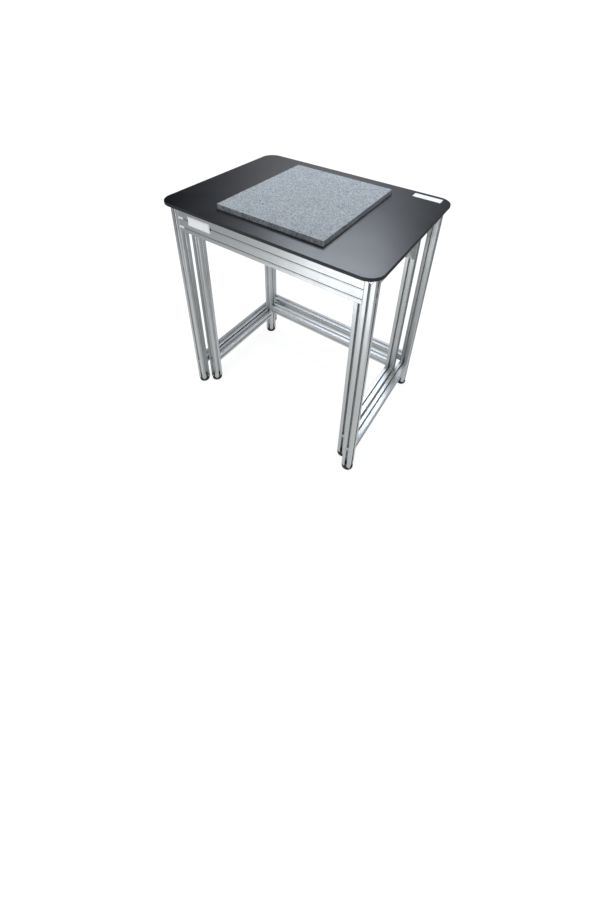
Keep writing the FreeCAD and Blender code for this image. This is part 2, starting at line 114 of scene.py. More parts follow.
def srgb(value: str) -> Colour:
    """Turn an sRGB hex colour into a linear one.

    Args:
        value: Colour as "#rrggbb".

    Returns:
        Red, green, blue and an alpha of 1.
    """
    linear = []
    for start in (1, 3, 5):
        part = int(value[start:start + 2], 16) / 255
        linear.append(part / 12.92 if part <= 0.04045 else ((part + 0.055) / 1.055) ** 2.4)
    return (linear[0], linear[1], linear[2], 1.0)


def plug(tree: Tree, node: Node, inputs: Inputs) -> None:
    """Set or link a node's inputs.

    Args:
        tree: Node tree that holds the node.
        node: The node.
        inputs: A value, or the socket to link from, for each input by name or number.
    """
    for key, value in inputs.items():
        if isinstance(value, Socket):
            tree.links.new(value, node.inputs[key])
        else:
            node.inputs[key].default_value = value


def add_node(tree: Tree, kind: str, settings: dict[str, Any] | None = None,
             inputs: Inputs | None = None) -> Node:
    """Add a node with its settings and links.

    Args:
        tree: Node tree that gets the node.
        kind: Blender's name for the type of node.
        settings: Values of the node's own properties.
        inputs: A value, or the socket to link from, for each input by name or number.

    Returns:
        The new node.
    """
    node = tree.nodes.new(kind)
    for key, value in (settings or {}).items():
        setattr(node, key, value)
    plug(tree, node, inputs or {})
    return node


def linked(name: str, data: bpy.types.ID) -> bpy.types.Object:
    """Return a new object in the scene that holds a mesh, a light or a camera."""
    thing = bpy.data.objects.new(name, data)
    bpy.context.scene.collection.objects.link(thing)
    return thing


# --------------------------------------------------------------------------------------------------
# Finishes


class Finish:
    """A surface finish, which builds its material once and hands out the same one after that."""

    name: str

    def look(self, tree: Tree) -> Inputs:
        """Add the finish's nodes.

        Args:
            tree: The material's node tree.

        Returns:
            What the inputs of the Principled BSDF are set to or linked from.
        """
        raise NotImplementedError

    def material(self) -> bpy.types.Material:
        """Return the finish's material."""
        made = bpy.data.materials.get(self.name)
        if made is None:
            made = bpy.data.materials.new(self.name)
            made.use_nodes = True
            tree = made.node_tree
            plug(tree, tree.nodes["Principled BSDF"], self.look(tree))
        return made


class PatchedFinish(Finish):
    """A finish whose tone and gloss change together, with a fine relief and eased edges."""

    tones: tuple[str, str]
    gloss: tuple[float, float]         # roughness at low and at high values of the pattern
    gloss_span: tuple[float, float]    # the values of the pattern that these belong to
    relief_strength: float
    relief_depth: float
    edge_radius: float
    metallic: float

    def pattern(self, tree: Tree, place: Socket) -> tuple[Socket, Socket]:
        """Add the pattern that the finish has of its own.

        Args:
            tree: The material's node tree.
            place: Socket with the place of the shaded point.

        Returns:
            The sockets with the share of the second tone and with the height of the relief.
        """
        raise NotImplementedError

    def look(self, tree: Tree) -> Inputs:
        """Add the finish's nodes.

        Args:
            tree: The material's node tree.

        Returns:
            What the inputs of the Principled BSDF are set to or linked from.
        """
        place = add_node(tree, "ShaderNodeTexCoord").outputs["Object"]
        share, height = self.pattern(tree, place)
        tone = add_node(tree, "ShaderNodeMix", {"data_type": "RGBA"}, {
            MIX_FACTOR: share, MIX_A: srgb(self.tones[0]), MIX_B: srgb(self.tones[1])})
        gloss = add_node(tree, "ShaderNodeMapRange", inputs={
            "Value": share, "From Min": self.gloss_span[0], "From Max": self.gloss_span[1],
            "To Min": self.gloss[0], "To Max": self.gloss[1]})
        rounded = add_node(tree, "ShaderNodeBevel", {"samples": 4}, {"Radius": self.edge_radius})
        bump = add_node(tree, "ShaderNodeBump", inputs={
            "Strength": self.relief_strength, "Distance": self.relief_depth, "Height": height,
            "Normal": rounded.outputs[0]})
        return {"Metallic": self.metallic, "Base Color": tone.outputs[MIX_RESULT],
                "Roughness": gloss.outputs[0], "Normal": bump.outputs[0]}


@dataclass(frozen=True)
class AnodisedAluminium(PatchedFinish):
    """Extruded aluminium with a natural anodised skin.

    The die leaves fine lines along the bar, which spread reflections across them, and the oxide
    gives the metal a soft, slightly cloudy grey sheen.
    """

    along: Axis
    tones: tuple[str, str] = ("#babdbd", "#d4d7d7")
    gloss: tuple[float, float] = (0.41, 0.27)
    gloss_span: tuple[float, float] = (0.3, 0.7)
    line_pitch: float = 1.2 * MM       # real lines are 0.1 mm apart: drawn wider, so that they show
    line_length: float = 260 * MM
    cloud_size: float = 45 * MM
    cloud_share: float = 0.4
    relief_strength: float = 0.2
    relief_depth: float = 0.012 * MM
    edge_radius: float = 0.45 * MM
    metallic: float = 1.0

    @property
    def name(self) -> str:
        """Name of the material, with the direction of the bar."""
        return "anodised_aluminium_extruded_" + self.along.name.lower()

    def pattern(self, tree: Tree, place: Socket) -> tuple[Socket, Socket]:
        """Add lines along the bar, and clouds.

        Args:
            tree: The material's node tree.
            place: Socket with the place of the shaded point.

        Returns:
            The sockets with the share of the second tone and with the height of the relief.
        """
        stretch = [1 / self.line_pitch] * 3
        stretch[self.along.value] = 1 / self.line_length
        lines_at = add_node(tree, "ShaderNodeMapping", inputs={"Vector": place, "Scale": stretch})
        lines = add_node(tree, "ShaderNodeTexNoise", inputs={
            "Vector": lines_at.outputs[0], "Scale": 1.0, "Detail": 3.0, "Roughness": 0.6})
        clouds = add_node(tree, "ShaderNodeTexNoise", inputs={
            "Vector": place, "Scale": 1 / self.cloud_size, "Detail": 2.0})
        blend = add_node(tree, "ShaderNodeMix", inputs={
            MIX_FACTOR: self.cloud_share, MIX_LOW: lines.outputs[0], MIX_HIGH: clouds.outputs[0]})
        return blend.outputs[0], lines.outputs[0]


@dataclass(frozen=True)
class GrainedMetal(PatchedFinish):
    """Metal with a fine grain and no direction, such as a casting or a plated part."""

    name: str
    tones: tuple[str, str]
    gloss: tuple[float, float]
    grain: float
    relief_depth: float
    patch_size: float = 9 * MM
    gloss_span: tuple[float, float] = (0.3, 0.7)
    relief_strength: float = 0.6
    edge_radius: float = 0.25 * MM
    metallic: float = 1.0

    def pattern(self, tree: Tree, place: Socket) -> tuple[Socket, Socket]:
        """Add patches and a grain.

        Args:
            tree: The material's node tree.
            place: Socket with the place of the shaded point.

        Returns:
            The sockets with the share of the second tone and with the height of the relief.
        """
        patches = add_node(tree, "ShaderNodeTexNoise", inputs={
            "Vector": place, "Scale": 1 / self.patch_size, "Detail": 3.0})
        grain = add_node(tree, "ShaderNodeTexNoise", inputs={
            "Vector": place, "Scale": 1 / self.grain, "Detail": 2.0})
        return patches.outputs[0], grain.outputs[0]


@dataclass(frozen=True)
class Polymer(PatchedFinish):
    """Plastic, laminate, film or rubber with a fine moulded or pressed texture."""

    name: str
    tones: tuple[str, str]
    gloss: tuple[float, float]
    grain: float
    relief_depth: float
    patch_size: float
    wear_span: tuple[float, float] = (0.35, 0.65)
    gloss_span: tuple[float, float] = (0.0, 1.0)
    relief_strength: float = 0.5
    edge_radius: float = 0.3 * MM
    metallic: float = 0.0

    def pattern(self, tree: Tree, place: Socket) -> tuple[Socket, Socket]:
        """Add worn patches and a cellular texture.

        Args:
            tree: The material's node tree.
            place: Socket with the place of the shaded point.

        Returns:
            The sockets with the share of the second tone and with the height of the relief.
        """
        patches = add_node(tree, "ShaderNodeTexNoise", inputs={
            "Vector": place, "Scale": 1 / self.patch_size, "Detail": 4.0, "Roughness": 0.6})
        grain = add_node(tree, "ShaderNodeTexVoronoi", inputs={
            "Vector": place, "Scale": 1 / self.grain})
        wear = add_node(tree, "ShaderNodeMapRange", inputs={
            "Value": patches.outputs[0], "From Min": self.wear_span[0],
            "From Max": self.wear_span[1]})
        return wear.outputs[0], grain.outputs["Distance"]


@dataclass(frozen=True)
class Granite(Finish):
    """Grey granite of medium grain, whose rounded edges are painted paler than its faces: partly
    bruised stone, partly a painted highlight.
    """

    name: str
    dark_share: float                  # share of the crystals that are mica
    depth: tuple[float, float]         # light scattered back by the darkest and palest blotches
    pit_depth: float
    quartz: str = "#b3b8ba"
    feldspar: str = "#9ba1a5"
    ash: str = "#7f868c"
    mica: str = "#525961"
    # Colour of the rounded edges: partly bruised stone, partly a painted highlight
    bruise_and_highlight: str = "#c9ced2"
    feldspar_from: float = 0.28        # where feldspar and quartz begin, past the mica
    quartz_from: float = 0.58
    crystal: float = 2.8 * MM
    speck: float = 1.5 * MM
    speck_share: float = 0.45
    blotch: float = 30 * MM
    blotch_span: tuple[float, float] = (0.3, 0.7)
    edge_span: tuple[float, float] = (0.93, 0.78)    # largest part of the normal, where the pale edge begins and where it is full
    bruise_and_highlight_share: float = 0.75
    roughness: float = 0.78

    def crystals(self, tree: Tree, place: Socket, size: float) -> Socket:
        """Add a layer of crystals, each with one of the stone's four colours.

        Args:
            tree: The material's node tree.
            place: Socket with the place of the shaded point.
            size: Typical width of a crystal.

        Returns:
            The socket with the layer's colour.
        """
        cells = add_node(tree, "ShaderNodeTexVoronoi", inputs={"Vector": place, "Scale": 1 / size})
        pick = add_node(tree, "ShaderNodeSeparateColor", inputs={0: cells.outputs["Color"]})
        ramp = add_node(tree, "ShaderNodeValToRGB", inputs={0: pick.outputs[0]})
        ramp.color_ramp.interpolation = "CONSTANT"
        stops = ramp.color_ramp.elements
        stops[0].color = srgb(self.mica)
        stops[1].position = self.dark_share
        stops[1].color = srgb(self.ash)
        stops.new(self.dark_share + self.feldspar_from).color = srgb(self.feldspar)
        stops.new(self.dark_share + self.quartz_from).color = srgb(self.quartz)
        return ramp.outputs[0]

    def edges(self, tree: Tree) -> Socket:
        """Find the rounded edges, where the surface faces none of the block's six ways, to paint them
        paler with bruise and highlight.

        Args:
            tree: The material's node tree.

        Returns:
            The socket with the share of the pale edge colour: partly bruised stone, partly painted
            highlight.
        """
        facing = add_node(tree, "ShaderNodeTexCoord").outputs["Normal"]
        straight = add_node(tree, VECTOR_MATH, {"operation": "ABSOLUTE"}, {0: facing})
        parts = add_node(tree, "ShaderNodeSeparateXYZ", inputs={0: straight.outputs[0]}).outputs
        most = parts[0]
        for part in (parts[1], parts[2]):
            most = add_node(tree, "ShaderNodeMath", {"operation": "MAXIMUM"}, {
                0: most, 1: part}).outputs[0]
        return add_node(tree, "ShaderNodeMapRange", inputs={
            "Value": most, "From Min": self.edge_span[0], "From Max": self.edge_span[1],
            "To Min": 0.0, "To Max": self.bruise_and_highlight_share}).outputs[0]

    def look(self, tree: Tree) -> Inputs:
        """Add the finish's nodes.

        Args:
            tree: The material's node tree.

        Returns:
            What the inputs of the Principled BSDF are set to or linked from.
        """
        place = add_node(tree, "ShaderNodeTexCoord").outputs["Object"]
        stone = add_node(tree, "ShaderNodeMix", {"data_type": "RGBA"}, {
            MIX_FACTOR: self.speck_share, MIX_A: self.crystals(tree, place, self.crystal),
            MIX_B: self.crystals(tree, place, self.speck)})
        blotches = add_node(tree, "ShaderNodeTexNoise", inputs={
            "Vector": place, "Scale": 1 / self.blotch, "Detail": 3.0, "Roughness": 0.65})
        depth = add_node(tree, "ShaderNodeMapRange", inputs={
            "Value": blotches.outputs[0], "From Min": self.blotch_span[0],
            "From Max": self.blotch_span[1], "To Min": self.depth[0], "To Max": self.depth[1]})
        shaded = add_node(tree, "ShaderNodeMix", {"data_type": "RGBA", "blend_type": "MULTIPLY"}, {
            MIX_FACTOR: 1.0, MIX_A: stone.outputs[MIX_RESULT], MIX_B: depth.outputs[0]})
        pits = add_node(tree, "ShaderNodeTexNoise", inputs={
            "Vector": place, "Scale": 1 / self.speck, "Detail": 4.0, "Roughness": 0.7})
        bump = add_node(tree, "ShaderNodeBump", inputs={
            "Strength": 0.6, "Distance": self.pit_depth, "Height": pits.outputs[0]})
        # The rounded edges get a paler colour: partly bruised stone, partly a painted highlight
        bruised_and_highlit = add_node(tree, "ShaderNodeMix", {"data_type": "RGBA"}, {
            MIX_FACTOR: self.edges(tree), MIX_A: shaded.outputs[MIX_RESULT],
            MIX_B: srgb(self.bruise_and_highlight)})
        return {"Roughness": self.roughness, "Base Color": bruised_and_highlit.outputs[MIX_RESULT],
                "Normal": bump.outputs[0]}


# Flamed granite: heat bursts the surface into small pale facets, with few dark grains between them
FLAMED_GRANITE = Granite("granite_flamed", 0.10, (0.84, 1.0), 0.25 * MM)
# Split granite for the sides: more of the dark mica shows, and its darker blotches are partly painted
# shade, as the sides face away from the light
SPLIT_GRANITE_PAINTED_SHADE = Granite("granite_split", 0.26, (0.55, 0.85), 0.6 * MM)
# Die-cast aluminium, blasted: a matt, even grey with a fine grain
CAST_ALUMINIUM = GrainedMetal(
    "aluminium_die_cast", ("#adafaf", "#c8c9c9"), (0.425, 0.575), 0.9 * MM, 0.05 * MM)
# Zinc-plated steel: a bright, slightly bluish metal with faint patches in the passivation
ZINC_PLATED_STEEL = GrainedMetal(
    "steel_zinc_plated", ("#c2c7cf", "#dfe2e6"), (0.204, 0.276), 0.5 * MM, 0.01 * MM,
    patch_size=4 * MM)
# Compact laminate, pressed against a satin plate: near-black, with a soft reflection and a dry haze
COMPACT_LAMINATE = Polymer(
    "compact_laminate_satin", ("#0e0f12", "#121317"), (0.34, 0.38), 0.8 * MM, 0.008 * MM, 130 * MM)
# The laminate's milled edge: the dark core, a little greyer and duller than the face
LAMINATE_CORE = Polymer(
    "compact_laminate_milled", ("#0c0d13", "#14161e"), (0.5, 0.6), 0.6 * MM, 0.03 * MM, 12 * MM)
# Glass-filled nylon, moulded: black with an eroded texture that hides scratches
BLACK_NYLON = Polymer(
    "nylon_moulded", ("#0e1111", "#1a1e1f"), (0.42, 0.52), 0.7 * MM, 0.03 * MM, 8 * MM)
# Nylon left in its natural white, moulded: slightly warm, with a waxy surface
NATURAL_NYLON = Polymer(
    "nylon_moulded_natural", ("#eeeeec", "#e4e4e1"), (0.38, 0.46), 0.7 * MM, 0.02 * MM, 8 * MM)
# Nitrile rubber, pressed: a dead black that dust makes greyer
PAD_RUBBER = Polymer(
    "nitrile_rubber_pressed", ("#121212", "#242424"), (0.8, 0.9), 0.6 * MM, 0.04 * MM, 7 * MM)
# Polyester film, printed white: smooth, with the slight ripple of the glue under it
WHITE_FILM = Polymer(
    "polyester_film_white", ("#fbfbfa", "#f3f4f4"), (0.28, 0.34), 1.4 * MM, 0.01 * MM, 16 * MM)
# The grey border that is printed round a blank plate
FILM_BORDER = Polymer(
    "polyester_film_border", ("#9fb2bf", "#a9bac6"), (0.3, 0.36), 1.4 * MM, 0.01 * MM, 16 * MM)


# --------------------------------------------------------------------------------------------------
# Shaping


def finished_mesh(name: str, shape: Shape) -> Mesh:
    """Turn an edited shape into a mesh with outward faces, smooth between its sharp edges.

    Args:
        name: Name of the mesh.
        shape: The shape, which is freed.

    Returns:
        The new mesh.
    """
    bmesh.ops.recalc_face_normals(shape, faces=shape.faces)
    mesh = bpy.data.meshes.new(name)
    shape.to_mesh(mesh)
    shape.free()
    mesh.polygons.foreach_set("use_smooth", [True] * len(mesh.polygons))
    mesh.set_sharp_from_angle(angle=SHARP_ANGLE)
    return mesh


def loft(loops: Sequence[Loop], ends: Ends) -> Shape:
    """Skin a row of loops that have equally many points.

    Args:
        loops: The loops, in order.
        ends: Whether the ends get caps, or the last loop joins the first.

    Returns:
        The skinned shape.
    """
    shape = bmesh.new()
    rows = [[shape.verts.new(point) for point in loop] for loop in loops]
    pairs = list(zip(rows, rows[1:]))
    if ends is Ends.JOINED:
        pairs.append((rows[-1], rows[0]))
    count = len(rows[0])
    for row, following in pairs:
        for number in range(count):
            beside = (number + 1) % count
            shape.faces.new((row[number], row[beside], following[beside], following[number]))
    if ends is Ends.CAPPED:
        shape.faces.new(rows[0])
        shape.faces.new(rows[-1])
    return shape


def rounded_loop(width: float, depth: float, radius: float, middle: Vector, steps: int) -> Loop:
    """Return the points of a level rectangle with round corners.

    Args:
        width: Size along X.
        depth: Size along Y.
        radius: Radius of the corners.
        middle: Middle of the rectangle.
        steps: Number of chords in each corner.

    Returns:
        The points, anticlockwise seen from above.
    """
    points = []
    for quarter, (sx, sy) in enumerate(((1, 1), (-1, 1), (-1, -1), (1, -1))):
        centre = middle + Vector((sx * (width / 2 - radius), sy * (depth / 2 - radius), 0))
        for step in range(steps + 1):
            angle = math.radians(90) * (quarter + step / steps)
            points.append(centre + radius * Vector((math.cos(angle), math.sin(angle), 0)))
    return points


def turned(profile: Sequence[tuple[Radius, float]], segments: int) -> Shape:
    """Turn a profile into a solid round the Z axis, closed at both ends.

    Args:
        profile: Radius, or a function that gives it from the angle, and height of each ring.
        segments: Number of points in a ring.

    Returns:
        The turned shape.
    """
    loops = []
    for radius, height in profile:
        loop = []
        for number in range(segments):
            angle = math.tau * number / segments
            reach = radius(angle) if callable(radius) else radius
            loop.append(Vector((reach * math.cos(angle), reach * math.sin(angle), height)))
        loops.append(loop)
    return loft(loops, Ends.CAPPED)


def hexagon(across_flats: float) -> Callable[[float], float]:
    """Return a function that gives the radius of a hexagon from the angle."""
    def radius(angle: float) -> float:
        """Return the radius at an angle, with a corner at angle 0."""
        return across_flats / 2 / math.cos(angle % math.radians(60) - math.radians(30))
    return radius


def ridged(radius: float, depth: float, ridges: int) -> Callable[[float], float]:
    """Return a function that gives the radius of a ring of straight ridges from the angle."""
    def reach(angle: float) -> float:
        """Return the radius at an angle: the full one at each ridge."""
        turn = angle * ridges / math.tau % 1
        return radius - depth * (0.25 < turn < 0.75)
    return reach


def body_of(node: str) -> str:
    """Return the name of the body that holds a node."""
    return frame["nodes"][node]["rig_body"]


def welded_copy(node: str) -> Shape:
    """Return an editable copy of a node's mesh, with its triangles joined."""
    shape = bmesh.new()
    shape.from_mesh(frame["nodes"][node].data)
    bmesh.ops.remove_doubles(shape, verts=shape.verts, dist=WELD)
    return shape


def solids(node: str) -> list[list[Vector]]:
    """Return the corners of each separate solid of a node.

    Args:
        node: Name of the node.

    Returns:
        One list of corners for each solid.
    """
    shape = welded_copy(node)
    seen = set()
    found = []
    for start in shape.verts:
        if start in seen:
            continue
        seen.add(start)
        part = [start]
        for vert in part:
            for edge in vert.link_edges:
                other = edge.other_vert(vert)
                if other not in seen:
                    seen.add(other)
                    part.append(other)
        found.append([vert.co.copy() for vert in part])
    shape.free()
    return found


def limits(points: Sequence[Vector]) -> tuple[Vector, Vector]:
    """Return the lowest and highest corner of a set of points."""
    low = Vector([min(point[axis] for point in points) for axis in range(3)])
    high = Vector([max(point[axis] for point in points) for axis in range(3)])
    return low, high


def evaluated_copy(holder: bpy.types.Object, name: str) -> Mesh:
    """Return an object's mesh with its modifiers applied, and remove the object.

    Args:
        holder: The object, linked to the scene.
        name: Name of the new mesh.

    Returns:
        A plain mesh.
    """
    depsgraph = bpy.context.evaluated_depsgraph_get()
    mesh = bpy.data.meshes.new_from_object(holder.evaluated_get(depsgraph), depsgraph=depsgraph)
    start = holder.data
    holder.modifiers.clear()
    bpy.data.objects.remove(holder)
    bpy.data.meshes.remove(start)      # frees the name, which the start may have
    mesh.name = name
    return mesh


def softened(node: str, name: str, width: float) -> Mesh:
    """Copy a node's solids with their sharp edges rounded.

    Args:
        node: Name of the node.
        name: Name of the new mesh.
        width: Width of the rounding.

    Returns:
        The rounded copy.
    """
    shape = welded_copy(node)
    bmesh.ops.dissolve_limit(
        shape, angle_limit=FLAT_ANGLE, verts=shape.verts, edges=shape.edges)
    holder = linked("work_" + name, finished_mesh(name, shape))
    bevel = holder.modifiers.new("edges", "BEVEL")
    bevel.width = width
    bevel.segments = 2
    bevel.limit_method = "ANGLE"
    bevel.angle_limit = SHARP_ANGLE
    bevel.harden_normals = True
    return evaluated_copy(holder, name)


@dataclass
class Recipe:
    """A Geometry Nodes tree with named inputs, which is run once on a mesh.

    It knows sockets by name: "start" for the geometry that it starts from, its inputs, and the
    results of its steps.
    """

    name: str
    asked: dict[str, Any]              # value of each input
    tree: Tree = field(init=False)
    entry: Node = field(init=False)
    values: dict[str, Any] = field(default_factory=dict)
    known: dict[str, Socket] = field(default_factory=dict)

    def __post_init__(self) -> None:
        """Start a tree with geometry in and out, and add its inputs."""
        self.tree = bpy.data.node_groups.new(self.name, "GeometryNodeTree")
        for way in ("INPUT", "OUTPUT"):
            self.tree.interface.new_socket(
                "Geometry", in_out=way, socket_type="NodeSocketGeometry")
        self.entry = add_node(self.tree, "NodeGroupInput")
        self.known["start"] = self.entry.outputs[0]
        for name, value in self.asked.items():
            self.known[name] = self.ask(name, value)

    def ask(self, name: str, value: Any) -> Socket:
        """Add a named input.

        Args:
            name: Name of the input.
            value: What the input is set to for the run.

        Returns:
            The socket that gives the input inside the tree.
        """
        socket = self.tree.interface.new_socket(
            name, in_out="INPUT", socket_type="NodeSocket" + SOCKET_KINDS[type(value)])
        self.values[socket.identifier] = value
        return self.entry.outputs[name]

    def steps(self, *rows: tuple[str, str, dict[str, Any], Inputs]) -> Socket:
        """Add a row of nodes, in which each can use the results of those before it.

        Args:
            rows: Name of the result, type, settings and inputs of each node. After a colon, the
                name can say which output the result is. In the inputs, a known name stands for
                its socket.

        Returns:
            The socket with the last result.
        """
        for title, kind, settings, inputs in rows:
            wired = {key: self.known.get(value, value) if isinstance(value, str) else value
                     for key, value in inputs.items()}
            name, _, output = title.partition(":")
            self.known[name] = add_node(self.tree, kind, settings, wired).outputs[output or 0]
        return self.known[name]

    def join_and_place(self, added: str) -> Socket:
        """Join a known geometry to the starting one, and move both to the input Place.

        Args:
            added: Name of the geometry.

        Returns:
            The socket with the result.
        """
        whole = add_node(self.tree, "GeometryNodeJoinGeometry", inputs={0: self.known[added]})
        self.tree.links.new(self.known["start"], whole.inputs[0])
        self.known["whole"] = whole.outputs[0]
        return self.steps(("placed", "GeometryNodeTransform", {}, {
            "Geometry": "whole", "Translation": "Place"}))

    def run(self, result: Socket, mesh: Mesh | None,
            finishes: Sequence[tuple[Finish, Socket | bool]]) -> Mesh:
        """Finish the tree and run it.

        Args:
            result: Socket with the finished geometry.
            mesh: Mesh that the tree starts from, if it needs one.
            finishes: Each finish, and which faces get it.

        Returns:
            The result as a plain mesh.
        """
        last = add_node(self.tree, "GeometryNodeRealizeInstances", inputs={0: result})
        for finish, faces in finishes:
            stuff = self.ask(finish.name, finish.material())
            last = add_node(self.tree, "GeometryNodeSetMaterial", inputs={
                "Geometry": last.outputs[0], "Selection": faces, "Material": stuff})
        add_node(self.tree, "NodeGroupOutput", inputs={0: last.outputs[0]})
        holder = linked("work_" + self.name, mesh or bpy.data.meshes.new(self.name))
        modifier = holder.modifiers.new(self.name, "NODES")
        modifier.node_group = self.tree
        for identifier, value in self.values.items():
            modifier[identifier] = value
        return evaluated_copy(holder, self.name)


def repeated(name: str, pattern: Mesh, seats: Sequence[tuple[Vector, Vector]],
             finish: Finish) -> Mesh:
    """Repeat a pattern at each of its seats.

    Args:
        name: Name of the new mesh.
        pattern: The pattern, upright at the origin.
        seats: Where each copy goes, and the direction of its +Z.
        finish: Finish of the copies.

    Returns:
        All the copies as one mesh.
    """
    places = bpy.data.meshes.new(name + "_seats")
    places.from_pydata([place for place, _ in seats], [], [])
    ways = places.attributes.new("way", "FLOAT_VECTOR", "POINT")
    ways.data.foreach_set("vector", [part for _, way in seats for part in way])
    holder = linked("work_" + pattern.name, pattern)
    recipe = Recipe(name, {"Pattern": holder})
    copies = recipe.steps(
        ("shape:Geometry", "GeometryNodeObjectInfo", {}, {"Object": "Pattern"}),
        ("way", "GeometryNodeInputNamedAttribute", {"data_type": "FLOAT_VECTOR"}, {"Name": "way"}),
        ("turn", "FunctionNodeAlignRotationToVector", {"axis": "Z"}, {"Vector": "way"}),
        ("points", "GeometryNodeMeshToPoints", {}, {0: "start"}),
        ("copies", "GeometryNodeInstanceOnPoints", {}, {
            "Points": "points", "Instance": "shape", "Rotation": "turn"}))
    mesh = recipe.run(copies, places, [(finish, True)])
    bpy.data.objects.remove(holder)
    return mesh


def add_piece(mesh: Mesh, body: str, replaced: Sequence[str] = (),
              finishes: Sequence[Finish] = ()) -> None:
    """Put a finished mesh on the table.

    Args:
        mesh: The mesh, in place.
        body: Body that it rides on.
        replaced: Nodes that it stands for.
        finishes: Finishes for its material indices, unless the mesh has them already.
    """
    piece = linked(mesh.name, mesh)
    for finish in finishes:
        mesh.materials.append(finish.material())
    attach(piece, body)
    if replaced:
        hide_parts(*replaced)
    LOG.info("%s: %d faces, on %s", piece.name, len(mesh.polygons), body)


# --------------------------------------------------------------------------------------------------
# Pieces


@dataclass
class ProfileBars:
    """The extruded bars, whose solids already have their true section."""

    nodes: list[str]

    def axis(self, node: str) -> Axis:
        """Return the direction in which a bar was extruded."""
        if "_leg_" in node:
            return Axis.Z
        low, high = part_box(node)
        return Axis.X if high.x - low.x > high.y - low.y else Axis.Y

    def build(self) -> None:
        """Dress every bar."""
        for node in self.nodes:
            finish = AnodisedAluminium(self.axis(node))
            for place in frame["nodes"][node].material_slots:
                place.material = finish.material()
            LOG.info("%s: %s", node, finish.name)


@dataclass
class Tabletop:
    """Board of compact laminate with round corners and a cut-out for the slab."""

    corner_radius: float = 45 * MM
    edge_radius: float = 2.0 * MM
    cutout_radius: float = 1.0 * MM
    cutout_gap: float = 2.0 * MM
    cutout_ease: float = 0.4 * MM
    corner_steps: int = 16
    edge_steps: int = 5
    margin: float = 0.4 * MM      # flat strip beside a rounded edge that keeps the faces flat
    milled_below: float = 0.7     # a face whose normal has a smaller Z belongs to an edge

    def outline(self, node: str, grown: float, radius: float, height: float) -> Loop:
        """Return the outline of a node, widened and with round corners.

        Args:
            node: Name of the node.
            grown: How far the outline lies outside the node.
            radius: Radius of the corners.
            height: Z of the outline.

        Returns:
            Its points.
        """
        low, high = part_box(node)
        middle = (low + high) / 2
        middle.z = height
        return rounded_loop(high.x - low.x + 2 * grown, high.y - low.y + 2 * grown, radius,
                            middle, self.corner_steps)

    def rim(self, inset: float, height: float) -> Loop:
        """Return the board's outline, drawn in by a distance, at a height."""
        return self.outline("tabletop", -inset, self.corner_radius - inset, height)

    def hole(self, outset: float, height: float) -> Loop:
        """Return the cut-out's outline, widened by a distance, at a height."""
        return self.outline("weighing_slab", self.cutout_gap + outset,
                            self.cutout_radius + outset, height)

    def loops(self) -> list[Loop]:
        """Return the loops from the cut-out's lower edge out, up and back over the top."""
        low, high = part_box("tabletop")
        ease, radius, margin = self.cutout_ease, self.edge_radius, self.margin
        loops = [self.hole(0, low.z + ease), self.hole(ease, low.z),
                 self.hole(ease + margin, low.z), self.rim(radius + margin, low.z)]
        for middle, start in ((low.z + radius, -90), (high.z - radius, 0)):
            for step in range(self.edge_steps + 1):
                angle = math.radians(start + 90 * step / self.edge_steps)
                loops.append(self.rim(radius - radius * math.cos(angle),
                                      middle + radius * math.sin(angle)))
        loops += [self.rim(radius + margin, high.z), self.hole(ease + margin, high.z),
                  self.hole(ease, high.z), self.hole(0, high.z - ease)]
        return loops

    def build(self) -> None:
        """Build the board, with its faces and its milled edges dressed apart."""
        mesh = finished_mesh("laminate_board", loft(self.loops(), Ends.JOINED))
        for face in mesh.polygons:
            face.material_index = int(abs(face.normal.z) < self.milled_below)
        add_piece(mesh, body_of("tabletop"), ["tabletop"],
                  [COMPACT_LAMINATE, LAMINATE_CORE])


